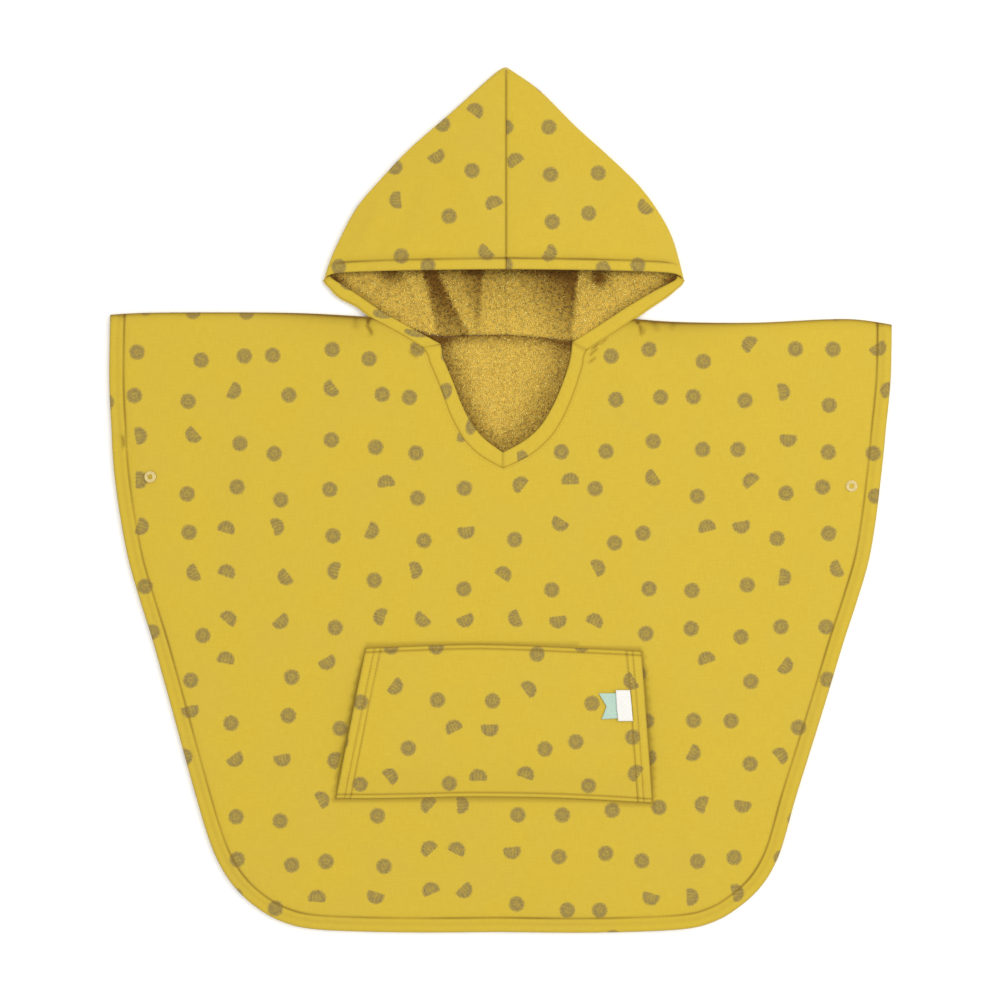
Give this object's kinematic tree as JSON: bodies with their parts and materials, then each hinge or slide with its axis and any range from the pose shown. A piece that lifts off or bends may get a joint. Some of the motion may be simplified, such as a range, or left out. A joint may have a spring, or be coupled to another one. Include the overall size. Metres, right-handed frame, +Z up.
{
  "type": "hooded bath poncho",
  "caption": "Child's hooded bath poncho in printed mustard cotton lined with terry, laid flat with open hood, neck V, kangaroo pocket and side press-studs.",
  "frame": {"origin": "middle of the laid garment's bounding box, on the surface that it lies on", "axes": "+X to the right of the laid garment as seen from above, +Y towards the tip of the hood, +Z up from the surface"},
  "size_m": [0.6648, 0.7356, 0.0211],
  "materials": {
    "woven_cotton_mustard": "matte",
    "terry_ochre": "matte",
    "snap_resin_cream": "satin",
    "satin_white": "satin",
    "ribbon_mint": "satin"
  },
  "bodies": {
    "root": {"back_panel": "woven_cotton_mustard", "back_lining": "terry_ochre", "front_panel": "woven_cotton_mustard", "neck_band_left": "woven_cotton_mustard", "neck_band_right": "woven_cotton_mustard", "hood_left": "woven_cotton_mustard", "hood_right": "woven_cotton_mustard", "hood_lining_left": "terry_ochre", "hood_lining_right": "terry_ochre", "hood_band_left": "woven_cotton_mustard", "hood_band_right": "woven_cotton_mustard", "pocket": "woven_cotton_mustard", "snap_left_cap": "snap_resin_cream", "snap_left_socket": "snap_resin_cream", "snap_right_cap": "snap_resin_cream", "snap_right_socket": "snap_resin_cream", "label_ribbon": "ribbon_mint", "label_tag": "satin_white"}
  },
  "joints": []
}
